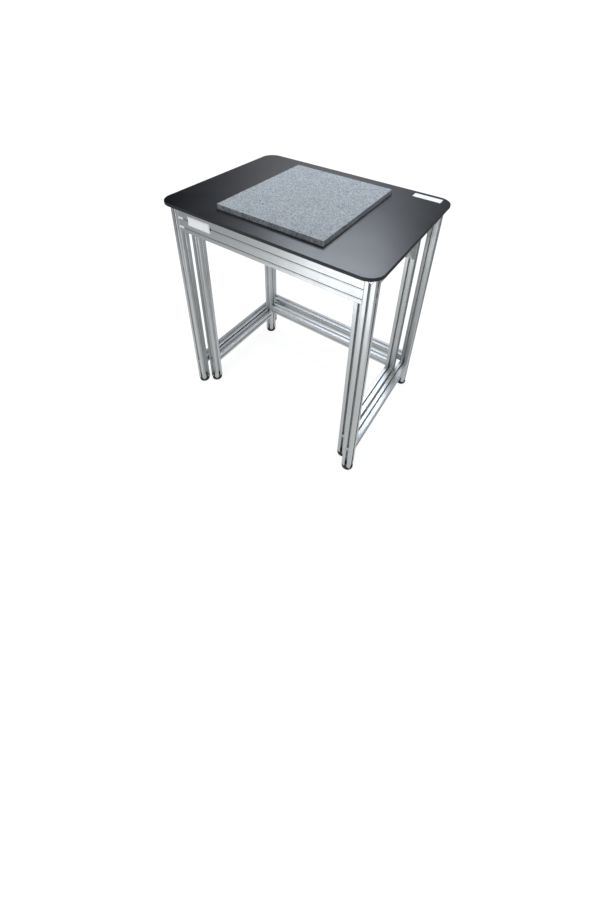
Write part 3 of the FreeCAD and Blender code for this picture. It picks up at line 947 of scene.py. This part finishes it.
@dataclass
class StoneSlab:
    """Block of granite with a flamed top, split sides and worn, chipped edges."""

    cell: float = 3.4 * MM
    extra_corners: float = 3.0    # corners along an edge of the block, over its number of cells
    crowding: float = 0.3         # how much the cells crowd towards the edges, from 0 to under 0.5
    smallest_round: float = 0.8 * MM
    largest_round: float = 3.4 * MM
    chip_length: float = 9 * MM
    wear_span: tuple[float, float] = (0.42, 0.78)    # wear where edges are whole and most chipped
    relief: float = 0.5 * MM
    relief_size: float = 7 * MM
    side_below: float = 0.6       # a face whose normal has a smaller Z belongs to a side

    def grid(self, recipe: Recipe) -> None:
        """Add a block of cells to the slab's recipe."""
        parts = add_node(recipe.tree, "ShaderNodeSeparateXYZ", inputs={0: recipe.known["Size"]})
        corners = {}
        for axis in Axis:
            corners["Vertices " + axis.name] = recipe.steps(
                ("cells", "ShaderNodeMath", {"operation": "DIVIDE"}, {
                    0: parts.outputs[axis.name], 1: "Cell"}),
                ("corners", "ShaderNodeMath", {"operation": "ADD"}, {
                    0: "cells", 1: self.extra_corners}))
        recipe.steps(("block", "GeometryNodeMeshCube", {}, {"Size": "Size", **corners}))

    def crowd(self, recipe: Recipe) -> None:
        """Move the cells towards the block's edges, where the detail is."""
        recipe.steps(
            ("share", VECTOR_MATH, {"operation": "DIVIDE"}, {0: "place", 1: "half"}),
            ("square", VECTOR_MATH, {"operation": "MULTIPLY"}, {0: "share", 1: "share"}),
            ("pull", VECTOR_MATH, {"operation": "SCALE"}, {0: "square", "Scale": "Crowding"}),
            ("most", "ShaderNodeMath", {"operation": "ADD"}, {0: "Crowding", 1: 1.0}),
            ("factor", VECTOR_MATH, {"operation": "SUBTRACT"}, {0: "most", 1: "pull"}),
            ("moved", VECTOR_MATH, {"operation": "MULTIPLY"}, {0: "place", 1: "factor"}),
            ("block", SET_POSITION, {}, {"Geometry": "block", "Position": "moved"}))

    def round_edges(self, recipe: Recipe) -> None:
        """Round the edges by a radius that changes along them, as wear and chips leave them."""
        recipe.steps(
            ("often", "ShaderNodeMath", {"operation": "DIVIDE"}, {0: 1.0, 1: "Chip length"}),
            ("wear", "ShaderNodeTexNoise", {}, {
                "Vector": "place", "Scale": "often", "Detail": 3.0, "Roughness": 0.7}),
            ("radius", "ShaderNodeMapRange", {"interpolation_type": "SMOOTHERSTEP"}, {
                "Value": "wear", "From Min": self.wear_span[0], "From Max": self.wear_span[1],
                "To Min": "Smallest rounding", "To Max": "Largest rounding"}),
            ("core", VECTOR_MATH, {"operation": "SUBTRACT"}, {0: "half", 1: "radius"}),
            ("back", VECTOR_MATH, {"operation": "SCALE"}, {0: "core", "Scale": -1.0}),
            ("below", VECTOR_MATH, {"operation": "MINIMUM"}, {0: "place", 1: "core"}),
            ("nearest", VECTOR_MATH, {"operation": "MAXIMUM"}, {0: "below", 1: "back"}),
            ("away", VECTOR_MATH, {"operation": "SUBTRACT"}, {0: "place", 1: "nearest"}),
            ("ahead", VECTOR_MATH, {"operation": "NORMALIZE"}, {0: "away"}),
            ("reach", VECTOR_MATH, {"operation": "SCALE"}, {0: "ahead", "Scale": "radius"}),
            ("moved", VECTOR_MATH, {"operation": "ADD"}, {0: "nearest", 1: "reach"}),
            ("block", SET_POSITION, {}, {"Geometry": "block", "Position": "moved"}))

    def roughen(self, recipe: Recipe) -> None:
        """Press the surface in unevenly, never out."""
        recipe.steps(
            ("often", "ShaderNodeMath", {"operation": "DIVIDE"}, {0: 1.0, 1: "Relief size"}),
            ("hollows", "ShaderNodeTexNoise", {}, {
                "Vector": "place", "Scale": "often", "Detail": 4.0, "Roughness": 0.75}),
            ("depth", "ShaderNodeMath", {"operation": "MULTIPLY"}, {0: "hollows", 1: "Relief"}),
            ("inward", "ShaderNodeMath", {"operation": "MULTIPLY"}, {0: "depth", 1: -1.0}),
            ("offset", VECTOR_MATH, {"operation": "SCALE"}, {0: "facing", "Scale": "inward"}),
            ("block", SET_POSITION, {}, {"Geometry": "block", "Offset": "offset"}))

    def build(self) -> None:
        """Grow the slab from a grid of cells, round its edges unevenly and roughen its faces."""
        low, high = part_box("weighing_slab")
        recipe = Recipe("granite_slab", {
            "Size": high - low, "Middle": (low + high) / 2, "Cell": self.cell,
            "Crowding": self.crowding, "Smallest rounding": self.smallest_round,
            "Largest rounding": self.largest_round, "Chip length": self.chip_length,
            "Relief": self.relief, "Relief size": self.relief_size})
        recipe.steps(
            ("place", "GeometryNodeInputPosition", {}, {}),
            ("facing", "GeometryNodeInputNormal", {}, {}),
            ("half", VECTOR_MATH, {"operation": "SCALE"}, {0: "Size", "Scale": 0.5}))
        for shaping in (self.grid, self.crowd, self.round_edges, self.roughen):
            shaping(recipe)
        placed = recipe.steps(("placed", SET_POSITION, {}, {
            "Geometry": "block", "Offset": "Middle"}))
        sides = recipe.steps(
            ("up:Z", "ShaderNodeSeparateXYZ", {}, {0: "facing"}),
            ("steep", "ShaderNodeMath", {"operation": "ABSOLUTE"}, {0: "up"}),
            ("sides", "ShaderNodeMath", {"operation": "LESS_THAN"}, {
                0: "steep", 1: self.side_below}))
        # The sides get the darker split finish, which is partly painted shade
        mesh = recipe.run(placed, None, [(FLAMED_GRANITE, True), (SPLIT_GRANITE_PAINTED_SHADE, sides)])
        mesh.polygons.foreach_set("use_smooth", [True] * len(mesh.polygons))
        add_piece(mesh, body_of("weighing_slab"), ["weighing_slab"])


@dataclass
class SocketScrews:
    """A set of equal socket screws, one for each solid of a node."""

    node: str
    name: str
    head_width: float
    head_height: float
    shank_width: float
    key_width: float
    key_depth: float
    ease: float = 0.6 * MM
    ridge_depth: float = 0.25 * MM
    ridges: int = 24
    segments: int = 96

    def seats(self) -> list[tuple[Vector, Vector, float]]:
        """Return the underside of each head, the way to the tip and the length of the shank."""
        found = []
        for corners in solids(self.node):
            low, high = limits(corners)
            middle = (low + high) / 2
            lengths = list(high - low)
            axis = lengths.index(max(lengths))
            unit = Matrix.Identity(3)[axis].copy()
            widths = {}
            for end in (low[axis], high[axis]):
                near = [corner - middle for corner in corners if abs(corner[axis] - end) < WELD]
                widths[end] = max((arm - arm.project(unit)).length for arm in near)
            tip, head = sorted(widths, key=lambda end: widths[end])
            way = unit * math.copysign(1, tip - head)
            seat = middle.copy()
            seat[axis] = head
            found.append((seat + way * self.head_height, way, max(lengths) - self.head_height))
        return found

    def screw(self, shank: float) -> Mesh:
        """Return one screw along +Z, with the underside of its head at the origin.

        Args:
            shank: Length of the shank.

        Returns:
            The screw's mesh.
        """
        head, stem, ease = self.head_width / 2, self.shank_width / 2, self.ease
        grip = ridged(head, self.ridge_depth, self.ridges)
        key = hexagon(self.key_width)
        top = -self.head_height
        profile = [
            (stem - ease, shank), (stem, shank - ease), (stem, 0.0),
            (head - self.ridge_depth - ease / 2, 0.0), (grip, -ease / 2), (grip, top + ease * 1.5),
            (head - self.ridge_depth, top + ease), (head - self.ridge_depth - ease, top),
            (hexagon(self.key_width + ease), top), (key, top + ease / 2),
            (key, top + self.key_depth)]
        return finished_mesh(self.name + "_pattern", turned(profile, self.segments))

    def build(self) -> None:
        """Repeat the screw at every seat."""
        seats = self.seats()
        mesh = repeated(self.name, self.screw(seats[0][2]),
                        [(seat, way) for seat, way, _ in seats], ZINC_PLATED_STEEL)
        add_piece(mesh, body_of(self.node), [self.node])


@dataclass
class LevellingFoot:
    """Moulded foot that turns on a threaded stud."""

    prefix: str                     # the frame that the foot belongs to
    place: str                      # its leg, such as front_left
    sole_radius: float = 17.5 * MM
    rim_radius: float = 18.1 * MM
    rim_bottom: float = 1.1 * MM
    rim_top: float = 6.8 * MM
    shoulder_width: float = 0.5 * MM
    shoulder_top: float = 7.5 * MM
    full_radius: float = 18.5 * MM  # over the ribs
    top_radius: float = 15.5 * MM
    top_ease: float = 0.4 * MM
    top_drop: float = 0.3 * MM      # the top lies this far below the collar
    dish_inset: float = 3 * MM
    dish_ledge: float = 2.4 * MM
    dish_depth: float = 0.8 * MM
    collar_width: float = 3.4 * MM
    collar_flare: float = 1.2 * MM
    bore_ease: float = 0.2 * MM
    bore_depth: float = 0.8 * MM
    rib_count: int = 36
    rib_width: float = 1.3 * MM
    rib_height: float = 4.6 * MM
    rib_middle: float = 4.0 * MM
    stud_radius: float = 4.0 * MM
    stud_ease: float = 0.4 * MM
    thread_pitch: float = 1.25 * MM
    thread_depth: float = 0.6 * MM
    segments: int = 72
    stud_segments: int = 32

    def shell(self, height: float) -> Mesh:
        """Return the turned body of the foot, standing on the origin.

        Args:
            height: Height of the foot.

        Returns:
            The body's mesh.
        """
        collar = self.stud_radius + self.collar_width
        top = height - self.top_drop
        profile = [
            (self.sole_radius - self.dish_inset, self.dish_depth),
            (self.sole_radius - self.dish_ledge, 0.0), (self.sole_radius, 0.0),
            (self.rim_radius, self.rim_bottom), (self.rim_radius, self.rim_top),
            (self.rim_radius - self.shoulder_width, self.shoulder_top),
            (self.top_radius + self.top_ease, top - self.top_ease),
            (self.top_radius - self.top_ease, top), (collar + self.collar_flare, top),
            (collar, height), (self.stud_radius + self.bore_ease, height),
            (self.stud_radius, height - self.bore_depth)]
        return finished_mesh("foot_shell", turned(profile, self.segments))

    def foot(self, low: Vector, high: Vector) -> Mesh:
        """Return the foot with its ring of ribs.

        Args:
            low: Lowest corner of the foot's box.
            high: Highest corner.

        Returns:
            The foot's mesh, in place.
        """
        recipe = Recipe(f"{self.prefix}_levelling_foot_{self.place}", {
            "Rib count": self.rib_count, "Rib radius": self.rim_radius,
            "Rib size": Vector((2 * (self.full_radius - self.rim_radius), self.rib_width,
                                self.rib_height)),
            "Rib middle": Vector((0, 0, self.rib_middle)),
            "Place": Vector(((low.x + high.x) / 2, (low.y + high.y) / 2, low.z))})
        recipe.steps(
            ("ring", "GeometryNodeMeshCircle", {}, {
                "Vertices": "Rib count", "Radius": "Rib radius"}),
            ("rib", "GeometryNodeMeshCube", {}, {"Size": "Rib size"}),
            ("outward", "GeometryNodeInputPosition", {}, {}),
            ("turn", "FunctionNodeAlignRotationToVector", {"axis": "X"}, {"Vector": "outward"}),
            ("ribs", "GeometryNodeInstanceOnPoints", {}, {
                "Points": "ring", "Instance": "rib", "Rotation": "turn"}),
            ("lifted", "GeometryNodeTransform", {}, {
                "Geometry": "ribs", "Translation": "Rib middle"}))
        return recipe.run(recipe.join_and_place("lifted"), self.shell(high.z - low.z),
                          [(BLACK_NYLON, True)])

    def stud(self, low: Vector, high: Vector) -> Mesh:
        """Return the stud as a core with a thread wound round it.

        Args:
            low: Lowest corner of the stud's box.
            high: Highest corner.

        Returns:
            The stud's mesh, in place.
        """
        core, depth, ease = self.stud_radius - self.thread_depth, self.thread_depth, self.stud_ease
        length = high.z - low.z - 2 * depth
        recipe = Recipe(f"{self.prefix}_threaded_stud_{self.place}", {
            "Pitch": self.thread_pitch, "Thread depth": depth, "Threaded length": length,
            "Core radius": core,
            "Place": Vector(((low.x + high.x) / 2, (low.y + high.y) / 2, low.z + depth))})
        recipe.steps(
            ("turns", "ShaderNodeMath", {"operation": "DIVIDE"}, {
                0: "Threaded length", 1: "Pitch"}),
            ("helix", "GeometryNodeCurveSpiral", {}, {
                "Resolution": 16, "Rotations": "turns", "Start Radius": "Core radius",
                "End Radius": "Core radius", "Height": "Threaded length"}),
            ("upright", "GeometryNodeSetCurveNormal", {}, {0: "helix"}),
            ("section", "GeometryNodeCurvePrimitiveCircle", {}, {
                "Resolution": 4, "Radius": "Thread depth"}),
            ("thread", "GeometryNodeCurveToMesh", {}, {
                "Curve": "upright", "Profile Curve": "section", "Fill Caps": True}))
        profile = [(core - ease, -depth), (core, 0.0), (core, length),
                   (core - ease, length + depth)]
        return recipe.run(recipe.join_and_place("thread"),
                          finished_mesh("stud_core", turned(profile, self.stud_segments)),
                          [(ZINC_PLATED_STEEL, True)])

    def build(self) -> None:
        """Build the foot and its stud."""
        for part, make, slot in (("foot", self.foot, "black_nylon"),
                                 ("stud", self.stud, "zinc_plated_steel")):
            node = f"{self.prefix}_{part}_{self.place}"
            add_piece(make(*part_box(node)), body_of(node), [node])


@dataclass
class SoftenedParts:
    """Small cast, moulded or sawn parts, whose solids only lack their rounded edges."""

    node: str
    name: str
    slot: str
    finish: Finish
    rounding: float

    def build(self) -> None:
        """Copy the node's solids with rounded edges and dress them."""
        mesh = softened(self.node, self.name, self.rounding)
        mesh.materials.clear()
        add_piece(mesh, body_of(self.node), [self.node], [self.finish])


@dataclass
class IsolationPads:
    """Ribbed rubber pads between the stand and the slab."""

    rib_count: int = 8
    groove_width: float = 1.0 * MM
    groove_depth: float = 0.5 * MM

    def section(self, width: float, height: float) -> list[tuple[float, float]]:
        """Return one side of the pad's grooved section, from left to right.

        Args:
            width: Width of the pad.
            height: Height of this side over the pad's middle.

        Returns:
            Points across the pad.
        """
        pitch = width / self.rib_count
        points = []
        for number in range(self.rib_count):
            left = -width / 2 + number * pitch + self.groove_width / 2
            right = left + pitch - self.groove_width
            floor = height - self.groove_depth
            points += [(left, floor), (left, height), (right, height), (right, floor)]
        return points

    def pad(self, size: Vector) -> Mesh:
        """Return one pad, centred on the origin.

        Args:
            size: Size of the pad.

        Returns:
            The pad's mesh.
        """
        upper = self.section(size.y, size.z / 2)
        outline = upper + [(y, -z) for y, z in reversed(upper)]
        loops = [[Vector((x, y, z)) for y, z in outline] for x in (-size.x / 2, size.x / 2)]
        return finished_mesh("pad_pattern", loft(loops, Ends.CAPPED))

    def build(self) -> None:
        """Repeat the pad at each of its places."""
        boxes = [limits(corners) for corners in solids("isolation_pads")]
        seats = [((low + high) / 2, Vector((0, 0, 1))) for low, high in boxes]
        mesh = repeated("ribbed_pads", self.pad(boxes[0][1] - boxes[0][0]), seats, PAD_RUBBER)
        add_piece(mesh, body_of("isolation_pads"), ["isolation_pads"])


@dataclass
class BlankPlate:
    """Bare plate of printed film with round corners and a thin border."""

    node: str
    name: str
    facing: Axis
    corner_radius: float = 2.5 * MM
    corner_shrink: float = 0.8    # how much smaller the corners get with each step inward
    ease_share: float = 0.3       # part of the thickness that is eased
    border_inset: float = 1.6 * MM
    border_width: float = 0.9 * MM
    corner_steps: int = 6

    def build(self) -> None:
        """Build the plate lying on its back, and turn it to the way that it faces."""
        low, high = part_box(self.node)
        size, middle = high - low, (low + high) / 2
        if self.facing is Axis.Z:
            width, depth, thickness = size
            stand = Matrix.Translation((middle.x, middle.y, low.z))
        else:
            width, thickness, depth = size
            stand = Matrix.Translation((middle.x, high.y, middle.z))
            stand = stand @ Matrix.Rotation(math.radians(90), 4, "X")
        ease = thickness * self.ease_share
        insets = [(0, 0), (0, thickness - ease), (ease, thickness), (self.border_inset, thickness),
                  (self.border_inset + self.border_width, thickness)]
        loops = []
        for inset, height in insets:
            radius = self.corner_radius - inset * self.corner_shrink
            loops.append(rounded_loop(width - 2 * inset, depth - 2 * inset, radius,
                                      Vector((0, 0, height)), self.corner_steps))
        shape = loft(loops, Ends.CAPPED)
        around = len(loops[0])
        border_row = len(loops) - 2
        shape.faces.ensure_lookup_table()
        for face in shape.faces[border_row * around:(border_row + 1) * around]:
            face.material_index = 1
        mesh = finished_mesh(self.name, shape)
        mesh.transform(stand)
        add_piece(mesh, body_of(self.node), [self.node], [WHITE_FILM, FILM_BORDER])


# --------------------------------------------------------------------------------------------------
# Studio


@dataclass
class SoftBox:
    """Rectangle of light that no camera sees."""

    name: str
    middle: Vector
    aim: Vector
    width: float
    depth: float
    radiance: float
    tint: str

    def build(self) -> None:
        """Hang the light and point it."""
        data = bpy.data.lights.new(self.name, "AREA")
        data.shape = "RECTANGLE"
        data.size, data.size_y = self.width, self.depth
        data.energy = self.radiance * self.width * self.depth * math.pi
        data.color = srgb(self.tint)[:3]
        lamp = linked(self.name, data)
        lamp.location = self.middle
        lamp.rotation_euler = (self.middle - self.aim).to_track_quat("Z", "Y").to_euler()
        lamp.visible_camera = False


@dataclass
class SkyLobe:
    """Part of the surroundings that is brighter or darker than the rest."""

    way: Vector
    outer: float                  # degrees from its middle to where it begins
    inner: float                  # degrees from its middle to where it has its full strength
    change: float


@dataclass
class Studio:
    """Pale floor, a soft box above and behind, another low in front, and dim walls."""

    eye: Vector = field(default_factory=lambda: Vector((0.62605, -0.96782, 1.30003)))
    heading: float = 32.44        # degrees from +Y towards -X
    tilt: float = 34.04           # degrees below the horizon
    roll: float = -2.09
    sensor: float = 36.0
    lens: float = 16.65
    shift: tuple[float, float] = (-0.0109, -0.1979)
    clips: tuple[float, float] = (0.02, 400.0)
    floor_radius: float = 80.0
    floor_tone: float = 0.33
    pool_middle: Vector = field(default_factory=lambda: Vector((0.1, -0.55, 0.0)))
    pool_glow: float = 0.48      # glow painted in a pool on the floor round the table, for all rays but the camera's, so that its shadows stay pale
    pool_radius: float = 0.75
    far_glow: float = 0.08
    far_radius: float = 1.65
    floor_glow: float = 0.88      # the same light where the camera sees the floor itself
    floor_shade: float = 0.2
    walls: float = 0.48
    wall_tint: str = "#fafbff"
    backdrop: str = "#ffffff"
    boxes: tuple[SoftBox, ...] = (
        SoftBox("back_box", Vector((-0.47, 1.0, 1.95)), Vector((0.0, 0.0, 0.8)),
                width=0.8, depth=0.6, radiance=11.0, tint="#eaf3ff"),
        SoftBox("front_box", Vector((0.05, -1.35, 0.03)), Vector((0.05, -1.35, 1.0)),
                width=1.1, depth=0.8, radiance=2.0, tint="#fafcff"),
    )
    lobes: tuple[SkyLobe, ...] = (
        SkyLobe(Vector((0.45, -0.8, 0.4)), 110.0, 40.0, 0.6),
        SkyLobe(Vector((-0.504, 0.807, 0.309)), 21.0, 6.0, 0.44),
        SkyLobe(Vector((-0.791, 0.457, 0.380)), 30.0, 12.0, -0.56),
        SkyLobe(Vector((-0.126, 0.898, 0.423)), 26.0, 8.0, -0.46),
        SkyLobe(Vector((0.05, 0.35, 0.935)), 35.0, 15.0, 0.35),
    )

    def camera(self) -> None:
        """Add the camera."""
        heading, tilt, roll = map(math.radians, (self.heading, self.tilt, self.roll))
        ahead = Vector((-math.sin(heading) * math.cos(tilt), math.cos(heading) * math.cos(tilt),
                        -math.sin(tilt)))
        level = Vector((math.cos(heading), math.sin(heading), 0))
        down = ahead.cross(level)
        right = math.cos(roll) * level + math.sin(roll) * down
        under = -math.sin(roll) * level + math.cos(roll) * down
        data = bpy.data.cameras.new("camera")
        data.sensor_width = self.sensor
        data.lens = self.lens
        data.shift_x, data.shift_y = self.shift
        data.clip_start, data.clip_end = self.clips
        camera = linked("camera", data)
        turn = Matrix((right, -under, -ahead)).transposed().to_4x4()
        camera.matrix_world = Matrix.Translation(self.eye) @ turn
        bpy.context.scene.camera = camera

    def paint(self) -> bpy.types.Material:
        """Return the floor's paint, which looks paler to the camera than to the table."""
        paint = bpy.data.materials.new("studio_floor_painted")
        paint.use_nodes = True
        tree = paint.node_tree
        tree.nodes.clear()
        place = add_node(tree, "ShaderNodeTexCoord").outputs["Object"]
        away = add_node(tree, VECTOR_MATH, {"operation": "DISTANCE"}, {
            0: place, 1: self.pool_middle})
        # A painted pool of glow round the table, fading to a dim glow further out
        pool = add_node(tree, "ShaderNodeMapRange", inputs={
            "Value": away.outputs["Value"], "From Min": self.pool_radius,
            "From Max": self.far_radius, "To Min": self.pool_glow, "To Max": self.far_glow})
        coats = []
        for tone, light in ((self.floor_tone, pool.outputs[0]),
                            (self.floor_shade, self.floor_glow)):
            matt = add_node(tree, "ShaderNodeBsdfDiffuse", inputs={
                "Color": (tone, tone, tone, 1.0)})
            glow = add_node(tree, "ShaderNodeEmission", inputs={"Strength": light})
            coats.append(add_node(tree, "ShaderNodeAddShader", inputs={
                0: matt.outputs[0], 1: glow.outputs[0]}).outputs[0])
        seen = add_node(tree, "ShaderNodeLightPath").outputs["Is Camera Ray"]
        both = add_node(tree, "ShaderNodeMixShader", inputs={0: seen, 1: coats[0], 2: coats[1]})
        add_node(tree, "ShaderNodeOutputMaterial", inputs={"Surface": both.outputs[0]})
        return paint

    def floor(self) -> None:
        """Add the floor."""
        mesh = bpy.data.meshes.new("floor")
        shape = bmesh.new()
        bmesh.ops.create_circle(shape, cap_ends=True, segments=96, radius=self.floor_radius)
        shape.to_mesh(mesh)
        shape.free()
        mesh.materials.append(self.paint())
        floor = linked("floor", mesh)

    def sky(self) -> None:
        """Add the surroundings: white to the camera, and dim walls to everything else."""
        world = bpy.data.worlds.new("studio")
        world.use_nodes = True
        tree = world.node_tree
        tree.nodes.clear()
        way = add_node(tree, "ShaderNodeTexCoord").outputs["Generated"]
        strength: Socket | float = self.walls
        for lobe in self.lobes:
            along = add_node(tree, VECTOR_MATH, {"operation": "DOT_PRODUCT"}, {
                0: way, 1: lobe.way.normalized()})
            change = add_node(tree, "ShaderNodeMapRange", {"interpolation_type": "SMOOTHSTEP"}, {
                "Value": along.outputs["Value"], "From Min": math.cos(math.radians(lobe.outer)),
                "From Max": math.cos(math.radians(lobe.inner)), "To Min": 0.0,
                "To Max": lobe.change})
            strength = add_node(tree, "ShaderNodeMath", {"operation": "ADD"}, {
                0: strength, 1: change.outputs[0]}).outputs[0]
        light = add_node(tree, "ShaderNodeBackground", inputs={
            "Color": srgb(self.wall_tint), "Strength": strength})
        backdrop = add_node(tree, "ShaderNodeBackground", inputs={"Color": srgb(self.backdrop)})
        seen = add_node(tree, "ShaderNodeLightPath").outputs["Is Camera Ray"]
        both = add_node(tree, "ShaderNodeMixShader", inputs={
            0: seen, 1: light.outputs[0], 2: backdrop.outputs[0]})
        add_node(tree, "ShaderNodeOutputWorld", inputs={"Surface": both.outputs[0]})
        bpy.context.scene.world = world

    def build(self) -> None:
        """Set up the studio."""
        self.camera()
        self.floor()
        for box in self.boxes:
            box.build()
        self.sky()
        bpy.context.scene.view_settings.view_transform = "Standard"
        LOG.info("studio: camera, floor, %d soft boxes and walls", len(self.boxes))


# --------------------------------------------------------------------------------------------------
# The whole table


def profile_nodes() -> list[str]:
    """Return the nodes that are lengths of extruded bar."""
    words = ("_apron", "_rail_", "_leg_", "_strips")
    return sorted(node for node in frame["nodes"] if any(word in node for word in words)
                  and not node.endswith("leg_caps"))


def frame_screws() -> list[SocketScrews]:
    """Return the sets of screws."""
    sets = [SocketScrews(f"{prefix}_{way}_bolts", f"{prefix}_{way}_cap_screws",
                         head_width=13 * MM, head_height=8 * MM, shank_width=8 * MM,
                         key_width=6 * MM, key_depth=4 * MM)
            for prefix in ("outer", "stand") for way in ("cross", "side")]
    sets.append(SocketScrews("gusset_screws", "gusset_button_screws", head_width=14 * MM,
                             head_height=4.4 * MM, shank_width=8 * MM, key_width=5 * MM,
                             key_depth=2.6 * MM, ridge_depth=0.0, ease=1.0 * MM))
    sets.append(SocketScrews("tabletop_screws", "tabletop_button_screws", head_width=9 * MM,
                             head_height=3.5 * MM, shank_width=5 * MM, key_width=3 * MM,
                             key_depth=1.8 * MM, ridge_depth=0.0))
    return sets


def small_parts() -> list[SoftenedParts]:
    """Return the parts that only need rounded edges, with their slot, finish and rounding."""
    return [SoftenedParts(*row) for row in (
        ("gusset_brackets", "cast_gussets", "cast_aluminium", CAST_ALUMINIUM, 0.8 * MM),
        ("gusset_slot_nuts", "slot_nuts", "zinc_plated_steel", ZINC_PLATED_STEEL, 0.3 * MM),
        ("apron_slot_stops", "slot_end_stops", "natural_nylon", NATURAL_NYLON, 0.6 * MM),
        ("outer_leg_caps", "outer_end_caps", "black_nylon", BLACK_NYLON, 0.5 * MM),
        ("stand_leg_caps", "stand_end_caps", "black_nylon", BLACK_NYLON, 0.5 * MM))]


def main() -> None:
    """Build the table and its studio, in order."""
    logging.basicConfig(level=logging.INFO, format="%(name)s: %(message)s")
    ProfileBars(profile_nodes()).build()
    Tabletop().build()
    StoneSlab().build()
    IsolationPads().build()
    for group in (*frame_screws(), *small_parts()):
        group.build()
    for prefix in ("outer", "stand"):
        for end in ("front", "back"):
            for side in ("left", "right"):
                LevellingFoot(prefix, f"{end}_{side}").build()
    BlankPlate("front_plate", "front_blank_plate", Axis.Y).build()
    BlankPlate("top_plate", "top_blank_plate", Axis.Z).build()
    Studio().build()


if __name__ == "__main__":
    main()
